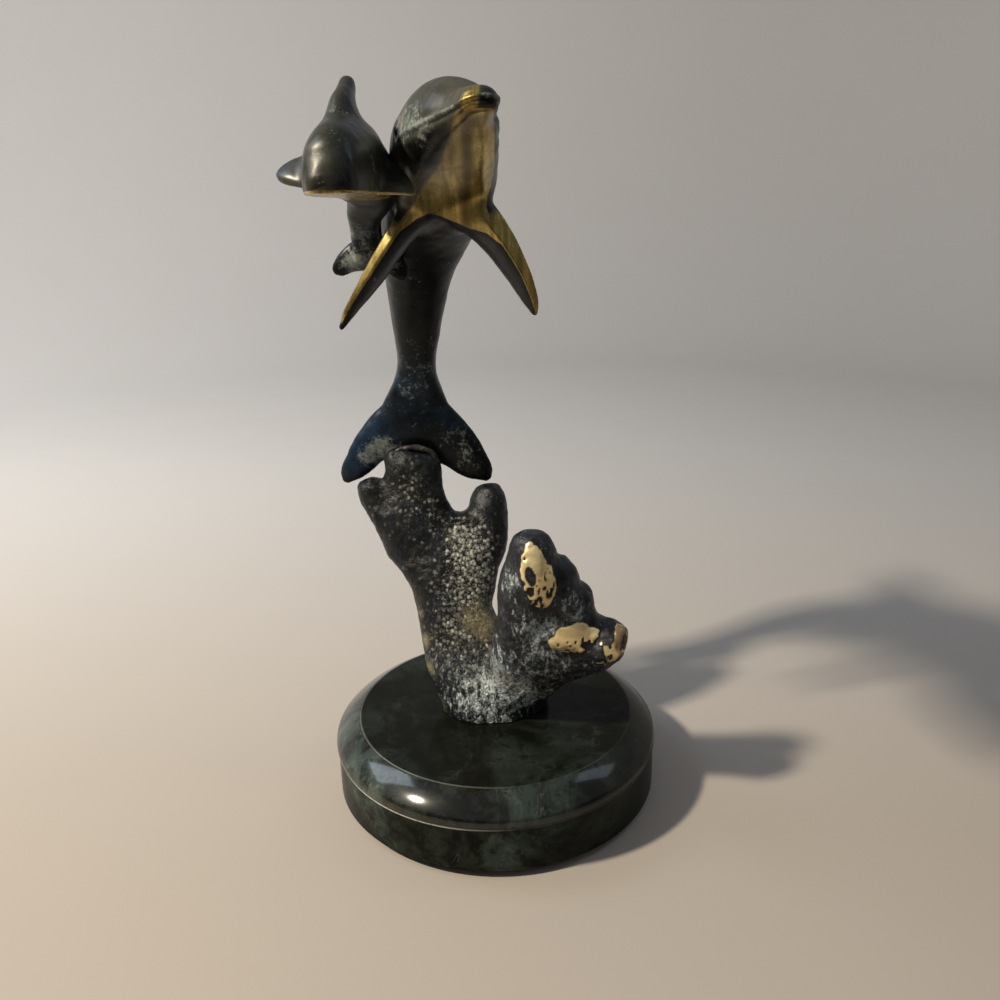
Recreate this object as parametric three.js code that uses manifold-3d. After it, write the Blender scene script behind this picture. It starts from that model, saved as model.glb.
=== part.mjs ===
import * as THREE from 'three';
import Module from 'manifold-3d';

const wasm = await Module();
wasm.setup();

// All sizes in millimetres, +Z up, origin on the table under the centre of the base.
const baseRadius = 50;            // turned marble drum
const drumTop = 16.7;             // quirk between drum and rounded shoulder
const drumChamfer = 0.8;
const shoulderTall = 8.4;         // from the quirk up to the flat top
const shoulderBulge = 0.5;        // widest girth of the shoulder beyond the drum
const girthRise = 2.5;            // that girth above the quirk
const plateauInset = 7.4;         // crisp edge of the flat top inside the drum
const shoulderSweep = [-23, 68];  // ends of the elliptical shoulder, degrees

const figureTall = 184.8;         // castings above the flat top of the marble
const tableTall = 184.8;          // the same height as listed in the tables below

const joint = 0.3;                // glue line, braze line or seat between two pieces
const feltThick = 1.5;
const feltInset = 3;

const studRadius = 3;             // M6, drawn at its major diameter
const studChamfer = 0.6;
const studPlay = 0.5;
const studTail = 1.4;             // thread showing below the nut
const studGrip = 14;              // thread inside the coral foot
const recessRadius = 11;          // room for washer and nut under the marble
const recessDepth = 10;
const washerRadius = 9;
const washerThick = 1.6;
const nutFlats = 10;
const nutHeight = 5;

const pinRadius = 1.25;           // plain dowels that locate the castings
const pinEnd = 0.4;               // air behind each blind end
const flukePin = { x: -23.5, z: 75, front: 21.4, back: 29.2 };
const calfPin = { outer: [-29, -11.2, 161.4], inner: [-15.5, -11.2, 163.2] };
const beadRadius = 1;             // braze run where the crown of the coral meets the tail
const beadDepth = 23.4;
const crownBead = [[-31, 71.5], [-29.6, 75.4], [-26.4, 78.2], [-22, 78.6], [-18.2, 76], [-16.4, 71.8]];

// The castings are drawn from the flat top of the marble upwards.
// A body lists spine points, then half width, rise to the back and drop to the belly.
// Its mouth lists places along the spine and degrees above the side line, cheek to beak.
const mother = {
  rings: 37, around: 24, belly: 3, peak: 2, side: [[1, 0.05, 0], [1, 0.22, 0.05]],
  spine: [
    [-23.2, 29, 79], [-22.8, 30, 89], [-22, 31, 103], [-21, 29.5, 119], [-19.5, 23.5, 134.5],
    [-16, 13.5, 148.5], [-10.6, -1.5, 160], [-8.6, -17, 167.5], [-6.4, -29.5, 172], [-3.8, -38, 174.5],
    [-1.8, -43.5, 175.9], [0.2, -48.5, 177], [1, -52, 177.8], [1.3, -53.4, 178]],
  size: [
    [13, 2.4, 2.4], [8.2, 4.2, 4.2], [6, 7.4, 7.2], [7.8, 10.6, 9.4], [10, 13, 11],
    [12.9, 14.4, 12], [13.8, 13.2, 12], [13.3, 12.6, 10], [11.4, 11.6, 8.4], [8.8, 8.6, 6.2],
    [5.8, 4.8, 4.4], [4.2, 3.2, 3.3], [3, 2.3, 2.4], [1.6, 1.2, 1.3]],
  mouth: [[0.6, -8], [0.66, -16], [0.74, -18], [0.85, -16], [0.94, -12]], lip: 0.5,
  eye: [0.585, 10], eyeRadius: 1.1,
};
const calf = {
  rings: 29, around: 20, belly: 4, peak: 1.6, side: [[1, 0, 0], [1, -0.12, 0]],
  spine: [
    [-30.4, 4, 139], [-31.2, 2, 145.4], [-30.6, -3, 152.6], [-27.6, -11, 159.6], [-29.6, -23, 163.4],
    [-30.2, -36, 163.4], [-30.4, -46.5, 163.2], [-30.6, -53, 162.9], [-31, -56.8, 162.6],
    [-31.4, -60.4, 162.2], [-31.7, -62.6, 162], [-31.8, -63.6, 162]],
  size: [
    [5, 1.4, 1.4], [4.2, 2.8, 2.8], [4.6, 4.6, 4.4], [6.6, 6.8, 6.2], [8, 10.8, 6.6],
    [9.5, 14, 5.8], [8.5, 10.6, 5], [6.9, 7.4, 4.3], [5.5, 5, 3.6],
    [4, 3.3, 2.8], [2.8, 2.1, 2], [1.4, 1, 1]],
  mouth: [[0.6, -16], [0.66, -28], [0.74, -34], [0.85, -34], [0.94, -28]], lip: 0.4,
  eye: [0.575, 14], eyeRadius: 0.8,
};

// A blade lists root to tip points, half chord, half thickness and the way to its trailing edge.
const motherFins = {
  left: {
    path: [[-13.6, -5, 155], [-20.6, -8.4, 147], [-28.4, -9.4, 136.4], [-34.6, -10, 128.4],
      [-38.4, -9.8, 122.6]],
    chord: [7, 5.4, 4.6, 3, 1], thick: [5, 2.9, 1.8, 1.2, 0.5], dir: [0.46, 0.86, -0.2],
  },
  right: {
    path: [[-6.4, -5, 155], [1.7, -8.8, 147.4], [8.2, -9.6, 137.8], [12.2, -9.6, 129.4], [13.6, -9.2, 125]],
    chord: [8, 7.4, 5.6, 3.4, 1], thick: [5, 3.1, 1.9, 1.3, 0.5], dir: [-0.6, 0.78, -0.16],
  },
  back: {
    path: [[-16.5, 20, 147.6], [-17, 30, 153.6], [-17.6, 38, 156.2], [-18.2, 44.5, 155.8],
      [-18.5, 47, 154.8]],
    chord: [12, 8.6, 5.6, 2.8, 0.8], thick: [3.2, 2.1, 1.5, 1, 0.4], dir: [-0.15, 0.62, -0.77],
  },
};
const calfFins = {
  left: {
    path: [[-34, -40, 164.4], [-39, -39.4, 164.2], [-42.8, -38.6, 163.8], [-45, -38, 163.4],
      [-45.8, -37.8, 163.2]],
    chord: [8, 6.2, 4.4, 2.8, 1], thick: [1.9, 1.6, 1.3, 0.9, 0.4], dir: [0.1, 0.72, 0.66],
  },
  right: {
    path: [[-26, -42, 163.4], [-20.8, -37.4, 162.8], [-17.8, -31.8, 161], [-16.6, -27.4, 159.4],
      [-16.2, -25.4, 158.8]],
    chord: [5.6, 5.2, 4, 2.5, 0.8], thick: [2.2, 1.8, 1.4, 1, 0.4], dir: [-0.3, 0.45, 0.84],
  },
  back: {
    path: [[-30.6, -32, 167.5], [-30.6, -28.4, 174], [-30.5, -25.4, 178.8], [-30.3, -22.4, 182.8],
      [-30.3, -21.2, 184.2]],
    chord: [9, 6.4, 4.4, 2.6, 0.8], thick: [7.6, 5.8, 3.4, 2, 0.7], dir: [0, 0.96, 0.28],
  },
};
// A tail fluke lists both lobes outwards, its notch with the right one: reach, drop, half chord and half thickness.
const motherFluke = {
  middle: [-23.4, 29, 83.4], dir: [0, -0.03, -1],
  left: [[4.4, 0.7, 11, 3.1], [9.2, 2.3, 8.5, 2.7], [14.2, 5.7, 6.2, 2.3], [17.9, 10.2, 5.1, 1.9],
    [21.3, 14, 3.6, 1.4], [23.4, 17.2, 1.2, 0.6]],
  right: [[0, 0, 10.6, 3.4], [4.4, 0.7, 11.2, 3.1], [8.8, 3, 9.3, 2.7], [13.3, 6.6, 7.6, 2.3],
    [17.2, 10.9, 6.1, 1.9], [21, 14.6, 4, 1.4], [23.2, 17.4, 1.2, 0.6]],
};
const calfFluke = {
  middle: [-30.2, 5, 141], dir: [0, -0.1, -1],
  left: [[3.6, 0.8, 4.4, 1.4], [7, 2.4, 3.4, 1.2], [10, 4.8, 2.2, 0.8], [11, 5.8, 0.6, 0.3]],
  right: [[0, 0, 5.2, 1.6], [3, 1.2, 4.4, 1.4], [5.6, 3.4, 3.4, 1.2], [7.8, 6.4, 2.2, 0.8],
    [8.6, 7.6, 0.6, 0.3]],
};

// A branch lists spine points, then half width along its side and half depth.
const east = [1, 0, 0];
const north = [0, 1, 0];
const branches = {
  trunk: {
    side: east,
    spine: [[-0.6, 0.5, -4], [-0.8, 1.2, 3.6], [-5, 3.6, 11.6], [-9.5, 7.4, 20.6], [-12, 11, 29.6],
      [-12.6, 14.4, 38], [-13.6, 17.4, 45.6], [-15.4, 20, 52.6], [-16, 21.4, 56.6]],
    size: [[16.6, 11.4], [16.8, 11.2], [15.6, 10.4], [13, 9.6], [12.2, 9], [14.4, 8.6], [17, 8.2],
      [18.6, 7], [16, 4]],
  },
  leftProng: {
    side: east,
    spine: [[-21, 17.5, 44.6], [-28.2, 20.5, 53.6], [-34.4, 23, 61], [-38.2, 24.6, 66.6],
      [-39, 25, 68.6]],
    size: [[8, 7], [7.6, 6.8], [6.2, 6], [4.6, 4.8], [2.4, 2.6]],
  },
  crown: {
    side: east,
    spine: [[-19, 17.6, 46.6], [-22.6, 20.4, 57.6], [-24, 22.8, 67.6], [-23.8, 23.8, 74.5],
      [-23.6, 24.2, 78]],
    size: [[12, 7], [10.4, 6.8], [9, 6], [7, 4.8], [3.4, 2.6]],
  },
  rightProng: {
    side: east,
    spine: [[-5.6, 17, 42.6], [-1.8, 20, 52], [-0.4, 23, 60], [-0.3, 24.4, 64.4], [-0.3, 24.8, 66]],
    size: [[8, 7], [7.4, 6.8], [6.2, 6], [4.3, 4.4], [2.2, 2.4]],
  },
  tallLobe: {
    side: east,
    spine: [[6, 0, 6.6], [8.4, -6.5, 20.6], [10, -12.5, 34.6], [11, -16.5, 47.6], [11.6, -18.6, 58],
      [11.8, -19.4, 65.2], [11.8, -19.6, 66.6]],
    size: [[9, 9], [8.8, 9], [8.6, 9], [8.4, 8.4], [7.4, 7.4], [3.8, 4], [1.6, 1.6]],
  },
  lowLobe: {
    side: north,
    spine: [[5, 0, 8.6], [15, -7, 19], [24, -12.6, 25.6], [31, -16.5, 30.2], [36.4, -19, 32.6],
      [38.4, -19.8, 33]],
    size: [[9, 8.6], [8.6, 8.4], [8.4, 8.4], [8, 8], [5.4, 5.6], [2.2, 2.4]],
  },
  midLobe: {
    side: north,
    spine: [[12, -9, 26.6], [18.6, -13, 36.6], [22.8, -15, 43], [25.4, -16, 46.6], [26.2, -16.4, 48]],
    size: [[8.6, 8.6], [8.4, 8.6], [7.8, 7.8], [5, 5.2], [2.2, 2.4]],
  },
  ridge: {
    side: east,
    spine: [[13, -12, 34], [17, -15.2, 45], [18.4, -16.6, 52], [18.8, -17, 56.4], [18.8, -17.2, 58]],
    size: [[8, 8], [8, 8], [6.6, 6.8], [4.4, 4.6], [2, 2.4]],
  },
  lobeWeb: {
    side: [1, 0, -0.45], square: 0.8,
    spine: [[6, -2, 8], [12, -7.6, 20], [18, -13, 31], [20.6, -15, 40], [21, -15.6, 45]],
    size: [[9.4, 8.8], [11.8, 9.2], [13.4, 9], [10.4, 8], [5, 4]],
  },
};
const branchLump = 0.07;          // casting swell along each branch, share of its radius
const tipRise = 0.4;              // how far the fan at a loft's end stands proud
const bladeCamber = 0.3;          // share of a blade's thickness moved to its leading edge
const eyeSink = 0.05;             // share of the way from skin to spine

// How finely each form is drawn.
const finRings = 11;
const flukeRings = 17;
const bladeAround = 12;
const branchSteps = 3;
const branchAround = 14;
const lipSteps = 20;
const beadSteps = 14;
const shoulderSteps = 8;
const marbleSides = 48;
const feltSides = 48;
const roundSides = 24;

const plateauTop = drumTop + shoulderTall;
const plateauRadius = baseRadius - plateauInset;
const girthRadius = baseRadius + shoulderBulge;
const girthHeight = drumTop + girthRise;
const marbleBottom = feltThick + joint;
const recessTop = marbleBottom + recessDepth;
const washerTop = recessTop - joint;
const nutTop = washerTop - washerThick - joint;
const studBottom = nutTop - nutHeight - studTail;
const footHeight = plateauTop + joint;
const studTop = footHeight + studGrip;
const boreRadius = studRadius + studPlay;

const grade = figureTall / tableTall;
const vector = (p) => new THREE.Vector3(...p).multiplyScalar(grade);
const curve = (points) => new THREE.CatmullRomCurve3(points, false, 'catmullrom', 0.5);
const listed = (table) => curve(table.map(vector));
const radians = (angle) => (angle * Math.PI) / 180;
const power = (value, exponent) => Math.sign(value) * Math.abs(value) ** exponent;

// Rings of points closed by a fan at each end.
function skin(rings, first, last) {
  const around = rings[0].length;
  const a = rings.length * around;
  const b = a + 1;
  const index = [];
  for (let j = 0; j < around; j += 1) {
    const k = (j + 1) % around;
    index.push(a, k, j, b, a - around + j, a - around + k);
    for (let low = 0; low + around < a; low += around) {
      const high = low + around;
      index.push(low + j, low + k, high + k, low + j, high + k, high + j);
    }
  }
  const positions = [...rings.flat(), first, last].flatMap((p) => p.toArray());
  const geometry = new THREE.BufferGeometry();
  geometry.setAttribute('position', new THREE.Float32BufferAttribute(positions, 3));
  geometry.setIndex(index);
  return geometry;
}

// A form is a path, its sizes, a hint for its side and an outline(angle, half, u) across and above it.
function onForm({ path, sizes, hint, outline }, u, angle) {
  const ahead = path.getTangent(u);
  const guide = hint(u);
  const across = guide.addScaledVector(ahead, -guide.dot(ahead)).normalize();
  const above = new THREE.Vector3().crossVectors(ahead, across);
  const [wide, tall] = outline(angle, sizes.getPoint(u), u);
  return path.getPoint(u).addScaledVector(across, wide).addScaledVector(above, tall);
}

function endOf({ path, cap }, u) {
  return path.getPoint(u).addScaledVector(path.getTangent(u), u === 0 ? -cap : cap);
}

function loft(form, rings, around) {
  const loops = Array.from({ length: rings }, (_, i) => Array.from({ length: around }, (__, j) => (
    onForm(form, i / (rings - 1), (2 * Math.PI * j) / around))));
  return skin(loops, endOf(form, 0), endOf(form, 1));
}

// Two half superellipses, one above the side line and one below it.
function bodyForm({ spine, size, side, belly, peak }, grow) {
  const [tail, head] = side.map(vector);
  const outline = (angle, half) => {
    const under = Math.sin(angle) < 0;
    const exponent = 2 / (under ? belly : peak);
    const tall = (under ? half.z : half.y) + grow;
    return [(half.x + grow) * power(Math.cos(angle), exponent), tall * power(Math.sin(angle), exponent)];
  };
  const hint = (u) => tail.clone().lerp(head, u);
  return { path: listed(spine), sizes: listed(size), hint, outline, cap: tipRise + grow };
}

// Thickest in front of the middle of its chord, thin behind.
function blade({ path, chord, thick, dir }, grow, rings = finRings) {
  const outline = (angle, half) => [
    (half.x + grow) * Math.cos(angle),
    (half.y + grow) * (1 - bladeCamber * Math.cos(angle)) * Math.sin(angle)];
  const sizes = listed(path.map((p, i) => [chord[i], thick[i], 0]));
  const form = { path: listed(path), sizes, hint: () => vector(dir), outline, cap: tipRise + grow };
  return loft(form, rings, bladeAround);
}

function fluke({ middle, dir, left, right }, grow) {
  const station = (sign) => ([reach, drop]) => [middle[0] + sign * reach, middle[1], middle[2] - drop];
  const outer = [...left].reverse();
  const both = [...outer, ...right];
  const path = [...outer.map(station(-1)), ...right.map(station(1))];
  return blade({ path, chord: both.map((l) => l[2]), thick: both.map((l) => l[3]), dir }, grow, flukeRings);
}

function branch({ spine, size, side, square = 1 }, order) {
  const outline = (angle, half, u) => {
    const swell = 1 + branchLump * Math.sin(3 * angle + 9 * u + 1.7 * order) * Math.sin(7 * u + order);
    return [half.x * swell * power(Math.cos(angle), square), half.y * swell * power(Math.sin(angle), square)];
  };
  const sizes = listed(size.map(([wide, deep]) => [wide, deep, 0]));
  const form = { path: listed(spine), sizes, hint: () => vector(side), outline, cap: tipRise };
  return loft(form, (spine.length - 1) * branchSteps + 1, branchAround);
}

function tube(points, radius, steps) {
  const ring = new THREE.Shape().absarc(0, 0, radius, 0, 2 * Math.PI);
  return new THREE.ExtrudeGeometry(ring, { steps, curveSegments: 4, extrudePath: curve(points) });
}

function rod(from, to, radius, sides = 16) {
  const way = to.clone().sub(from).normalize();
  const turn = new THREE.Quaternion().setFromUnitVectors(THREE.Object3D.DEFAULT_UP, way);
  const geometry = new THREE.CylinderGeometry(radius, radius, from.distanceTo(to), sides);
  return geometry.applyQuaternion(turn).translate(...from.clone().lerp(to, 0.5).toArray());
}

function turned(profile, sides) {
  return new THREE.LatheGeometry(profile.map((p) => new THREE.Vector2(...p)), sides).rotateX(Math.PI / 2);
}

function solid(geometry) {
  const position = geometry.getAttribute('position');
  const order = geometry.index ? geometry.index.array : Array.from({ length: position.count }, (_, i) => i);
  const mesh = new wasm.Mesh({
    numProp: 3, vertProperties: Float32Array.from(position.array), triVerts: Uint32Array.from(order) });
  mesh.merge();
  return new wasm.Manifold(mesh);
}

function meshed(manifold) {
  const { vertProperties, triVerts } = manifold.getMesh();
  const geometry = new THREE.BufferGeometry();
  geometry.setAttribute('position', new THREE.BufferAttribute(Float32Array.from(vertProperties), 3));
  geometry.setIndex(Array.from(triVerts));
  geometry.computeVertexNormals();
  return geometry;
}

const join = (list) => list.reduce((sum, next) => sum.add(next));

function dolphin(spec, fins, tail, grow = 0) {
  const form = bodyForm(spec, grow);
  const sides = (place) => place.map(([u, rise]) => [u, radians(180 - rise)]);
  const eyes = [[spec.eye[0], radians(spec.eye[1])], ...sides([spec.eye])].map(([u, angle]) => solid(
    new THREE.SphereGeometry(spec.eyeRadius + grow, 8, 6).translate(...onForm(form, u, angle)
      .lerp(form.path.getPoint(u), eyeSink).toArray())));
  const lips = [
    ...sides(spec.mouth).map((place) => onForm(form, ...place)), endOf(form, 1),
    ...spec.mouth.map(([u, rise]) => onForm(form, u, radians(rise))).reverse()];
  const whole = join([solid(loft(form, spec.rings, spec.around)), ...eyes,
    ...Object.values(fins).map((fin) => solid(blade(fin, grow))), solid(fluke(tail, grow))]);
  return grow > 0 ? whole : whole.subtract(solid(tube(lips, spec.lip, lipSteps)));
}

// A dowel hole is the dowel with play around it and air behind both ends.
function dowelHole(from, to) {
  const air = to.clone().sub(from).setLength(pinEnd);
  return solid(rod(from.clone().sub(air), to.clone().add(air), pinRadius + joint));
}

const bead = (radius) => solid(tube(crownBead.map(([x, z]) => vector([x, beadDepth, z])), radius, beadSteps));
const flukePinEnds = [flukePin.front, flukePin.back].map((y) => vector([flukePin.x, y, flukePin.z]));
const calfPinEnds = [calfPin.outer, calfPin.inner].map(vector);
const motherSeat = dolphin(mother, motherFins, motherFluke, joint);
const studBore = rod(
  new THREE.Vector3(0, 0, -studPlay), new THREE.Vector3(0, 0, studGrip + studPlay), boreRadius, roundSides);
const footCut = 2 * baseRadius;
const underFoot = new THREE.BoxGeometry(footCut, footCut, footCut).translate(0, 0, -footCut / 2);

const motherSolid = dolphin(mother, motherFins, motherFluke)
  .subtract(dowelHole(...flukePinEnds)).subtract(dowelHole(...calfPinEnds));
const calfSolid = dolphin(calf, calfFins, calfFluke)
  .subtract(motherSeat).subtract(dowelHole(...calfPinEnds));
const coralSolid = join(Object.values(branches).map((b, i) => solid(branch(b, i))))
  .subtract(solid(underFoot)).subtract(motherSeat).subtract(bead(beadRadius + joint))
  .subtract(solid(studBore))
  .subtract(dowelHole(...flukePinEnds));
const beadSolid = bead(beadRadius).subtract(motherSeat);

// The shoulder is part of an ellipse through its widest girth and the plateau edge.
const [sweepStart, sweepEnd] = shoulderSweep.map(radians);
const shoulderRise = (plateauTop - girthHeight) / Math.sin(sweepEnd);
const shoulderReach = (girthRadius - plateauRadius) / (1 - Math.cos(sweepEnd));
const shoulder = Array.from({ length: shoulderSteps + 1 }, (_, i) => {
  const t = sweepStart + ((sweepEnd - sweepStart) * i) / shoulderSteps;
  return [girthRadius - shoulderReach * (1 - Math.cos(t)), girthHeight + shoulderRise * Math.sin(t)];
});
const marble = turned([
  [boreRadius, recessTop], [recessRadius, recessTop], [recessRadius, marbleBottom],
  [baseRadius - drumChamfer, marbleBottom], [baseRadius, marbleBottom + drumChamfer],
  [baseRadius, drumTop], ...shoulder, [boreRadius, plateauTop], [boreRadius, recessTop]], marbleSides);

const feltRadius = baseRadius - feltInset;
const felt = turned([[0, 0], [feltRadius, 0], [feltRadius, feltThick], [0, feltThick]], feltSides);
const washerFoot = washerTop - washerThick;
const washer = turned([
  [boreRadius, washerFoot], [washerRadius, washerFoot], [washerRadius, washerTop], [boreRadius, washerTop],
  [boreRadius, washerFoot]], roundSides);
const stud = turned([
  [0, studBottom], [studRadius - studChamfer, studBottom], [studRadius, studBottom + studChamfer],
  [studRadius, studTop - studChamfer], [studRadius - studChamfer, studTop], [0, studTop]], roundSides);

const corner = new THREE.Vector2(nutFlats / Math.sqrt(3), 0);
const hex = new THREE.Shape(Array.from({ length: 6 }, (_, i) => (
  corner.clone().rotateAround(new THREE.Vector2(), (i * Math.PI) / 3))));
hex.holes.push(new THREE.Path().absarc(0, 0, studRadius + joint, 0, 2 * Math.PI, true));
const nutShape = { depth: nutHeight, bevelEnabled: false, curveSegments: roundSides / 2 };
const nut = new THREE.ExtrudeGeometry(hex, nutShape).translate(0, 0, nutTop - nutHeight);

function finish(color, roughness, metalness) {
  return new THREE.MeshStandardMaterial({ color, roughness, metalness });
}

const darkPatina = finish(0x2c3a3a, 0.38, 0.85);
const coralPatina = finish(0x3a3b38, 0.62, 0.8);
const brass = finish(0xb8924a, 0.35, 1);
const steel = finish(0x9ea1a3, 0.4, 1);
const greenMarble = finish(0x1f3a30, 0.14, 0);
const greenFelt = finish(0x1c3a26, 0.95, 0);

function piece(name, geometry, material) {
  const mesh = new THREE.Mesh(geometry, material);
  mesh.name = name;
  return mesh;
}

const figure = new THREE.Group();
figure.position.z = footHeight;
figure.add(
  piece('coral_stand', meshed(coralSolid), coralPatina),
  piece('crown_braze', meshed(beadSolid), brass),
  piece('fluke_pin', rod(...flukePinEnds, pinRadius), brass),
  piece('mother_dolphin', meshed(motherSolid), darkPatina),
  piece('calf_pin', rod(...calfPinEnds, pinRadius), brass),
  piece('calf_dolphin', meshed(calfSolid), darkPatina),
);

const statue = new THREE.Group();
statue.add(
  piece('felt_pad', felt, greenFelt),
  piece('marble_base', marble, greenMarble),
  piece('base_washer', washer, steel),
  piece('base_nut', nut, steel),
  piece('base_stud', stud, steel),
  figure,
);

export default statue;
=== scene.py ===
import math
import bpy
import numpy as np
from mathutils import Matrix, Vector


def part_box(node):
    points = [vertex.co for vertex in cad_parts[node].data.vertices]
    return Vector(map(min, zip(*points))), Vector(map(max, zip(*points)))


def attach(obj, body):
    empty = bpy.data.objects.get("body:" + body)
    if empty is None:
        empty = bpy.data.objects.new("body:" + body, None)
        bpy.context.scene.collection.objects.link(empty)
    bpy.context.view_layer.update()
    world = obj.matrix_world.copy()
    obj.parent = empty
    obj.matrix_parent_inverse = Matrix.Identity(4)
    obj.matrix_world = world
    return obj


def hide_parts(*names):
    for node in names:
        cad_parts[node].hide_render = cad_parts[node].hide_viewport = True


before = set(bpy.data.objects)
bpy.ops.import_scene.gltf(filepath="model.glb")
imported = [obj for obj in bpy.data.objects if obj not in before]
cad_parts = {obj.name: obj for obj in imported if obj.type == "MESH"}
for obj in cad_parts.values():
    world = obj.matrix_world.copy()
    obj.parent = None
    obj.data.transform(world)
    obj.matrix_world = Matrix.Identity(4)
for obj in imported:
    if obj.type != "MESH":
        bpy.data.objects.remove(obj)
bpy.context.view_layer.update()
mm = 0.001
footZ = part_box("coral_stand")[0].z / mm  # the castings are listed from the coral's foot up, in mm


# Shapes as whole arrays

def unit(v):  # the same direction, one long
    return v / np.linalg.norm(v, axis=-1, keepdims=True)


def ease(x, low, high):  # 0 below low, 1 above high, smooth between; low may be the larger
    t = np.clip((x - low) / (high - low), 0, 1)
    return t * t * (3 - 2 * t)


def spline(points, u):  # Catmull-Rom: every cubic leaves its point along half the chord of its neighbours
    p = np.asarray(points, float)
    p = np.vstack([2 * p[0] - p[1], p, 2 * p[-1] - p[-2]])
    s = np.clip(u, 0, 1) * (len(p) - 3)
    k = np.minimum(s.astype(int), len(p) - 4)
    t = (s - k)[:, None]
    a, b, c, d = p[k], p[k + 1], p[k + 2], p[k + 3]
    return b + 0.5 * t * (c - a + t * (2 * a - 5 * b + 4 * c - d + t * (3 * (b - c) + d - a)))


def rail(form, u):  # middle, tangent, across (the side less its part along the tangent) and above
    middle = spline(form["spine"], u)
    ahead = unit(spline(form["spine"], u + 0.002) - spline(form["spine"], u - 0.002))
    ends = np.atleast_2d(np.asarray(form["side"], float))
    hint = ends[0] + (ends[-1] - ends[0]) * u[:, None]
    across = unit(hint - (hint * ahead).sum(-1, keepdims=True) * ahead)
    return middle, ahead, across, np.cross(ahead, across)


def sweep(form, section, rings, around):  # point = middle + wide across + tall above, ring by ring
    u = np.linspace(0, 1, rings)
    turn = np.linspace(0, 2 * math.pi, around, endpoint=False)[None]
    middle, _, across, above = rail(form, u)
    wide, tall = section(spline(form["size"], u), turn, u[:, None])
    return middle[:, None] + wide[..., None] * across[:, None] + tall[..., None] * above[:, None]


def signedPower(x, power):  # the power of the size, with the sign kept
    return np.sign(x) * np.abs(x) ** power


def bodySection(form):  # two half superellipses, one over the side line and one under it
    def section(half, turn, u):
        c, s = np.cos(turn), np.sin(turn)
        power = 2 / np.where(s < 0, form["belly"], form["peak"])
        tall = np.where(s < 0, half[:, 2:3], half[:, 1:2])
        return half[:, :1] * signedPower(c, power), tall * signedPower(s, power)
    return section


def bladeSection(half, turn, u):  # half chord by half thickness, fuller at the leading edge
    return half[:, :1] * np.cos(turn), half[:, 1:2] * (1 - 0.3 * np.cos(turn)) * np.sin(turn)


def branchSection(form, order):  # an ellipse whose radius swells and shrinks round and along the branch
    def section(half, turn, u):
        swell = 1 + 0.06 * np.sin(3 * turn + 9 * u + 1.7 * order) * np.sin(7 * u + order)
        power = form.get("square", 1)
        return (half[:, :1] * swell * signedPower(np.cos(turn), power),
                half[:, 1:2] * swell * signedPower(np.sin(turn), power))
    return section


def tubeSection(half, turn, u):  # a circle
    return half[:, :1] * np.cos(turn), half[:, :1] * np.sin(turn)


def flukeForm(tail):  # the left lobe reversed and mirrored, then the right one: one blade, tip to tip
    both = np.vstack([np.array(tail["left"])[::-1] * [-1, 1, 1, 1], tail["right"]])
    zero = np.zeros(len(both))
    spine = np.array(tail["middle"]) + np.stack([both[:, 0], zero, -both[:, 1]], -1)
    return {"spine": spine, "size": both[:, 2:], "side": tail["side"]}


def lattice(p, size, seed):  # value noise from -1 to 1: hashed numbers on a grid of that size, eased between
    q = p / size + seed * 31.7
    cell = np.floor(q).astype(np.int64)
    f = q - cell
    f = f * f * f * (f * (f * 6 - 15) + 10)
    total = np.zeros(len(p))
    for corner in np.ndindex(2, 2, 2):
        k = (cell + corner) @ np.array([73856093, 19349663, 83492791]) + seed * 2654435761
        k = ((k ^ (k >> 15)) * 2246822519) & 0xFFFFFFFF
        k = ((k ^ (k >> 13)) * 3266489917) & 0xFFFFFFFF
        share = np.prod(np.where(corner, f, 1 - f), -1)
        total += share * ((k ^ (k >> 16)) & 0xFFFF) / 32767.5
    return total - 1


def ripple(co, waves):  # sum of noise waves, each height, size and seed
    return sum(height * lattice(co, size, seed) for height, size, seed in waves)


# Meshes

def newPiece(name, verts, faces, slot, *nodes):
    mesh = bpy.data.meshes.new(name)
    mesh.from_pydata(verts, [], faces)
    piece = bpy.data.objects.new(name, mesh)
    bpy.context.scene.collection.objects.link(piece)
    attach(piece, "root")
    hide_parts(*nodes)
    return piece


def gridFaces(rings, around):  # quads from each ring to the next, closed round the ring
    index = np.arange(rings * around).reshape(rings, around)
    after = np.roll(index, -1, 1)
    return np.stack([index[:-1], after[:-1], after[1:], index[1:]], -1).reshape(-1, 4)


def closedLofts(grids):  # the quads of every grid, and a fan from each end ring to the ring's middle
    verts, faces, start = [], [], 0
    for grid in grids:
        rings, around = grid.shape[:2]
        first = start + np.arange(around)
        last = first + (rings - 1) * around
        pole = np.full(around, start + rings * around)
        verts.append(np.vstack([grid.reshape(-1, 3), grid[[0, -1]].mean(1)]))
        faces += (start + gridFaces(rings, around)).tolist()
        faces += np.stack([pole, np.roll(first, -1), first], -1).tolist()
        faces += np.stack([pole + 1, last, np.roll(last, -1)], -1).tolist()
        start += rings * around + 2
    return (np.vstack(verts) + [0, 0, footZ]) * mm, faces


def settle(piece):  # what the modifiers show becomes the mesh
    shown = piece.evaluated_get(bpy.context.evaluated_depsgraph_get())
    old, piece.data = piece.data, bpy.data.meshes.new_from_object(shown)
    piece.modifiers.clear()
    bpy.data.meshes.remove(old)


def readPoints(piece):  # in mm from the coral's foot
    flat = np.empty(len(piece.data.vertices) * 3, np.float32)
    piece.data.vertices.foreach_get("co", flat)
    return flat.reshape(-1, 3) / mm - [0, 0, footZ]


def writePoints(piece, co):
    flat = ((co + [0, 0, footZ]) * mm).astype(np.float32).ravel()
    piece.data.vertices.foreach_set("co", flat)
    piece.data.update()


def readNormals(piece):
    flat = np.empty(len(piece.data.vertices) * 3, np.float32)
    piece.data.vertex_normals.foreach_get("vector", flat)
    return flat.reshape(-1, 3).astype(float)


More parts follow.
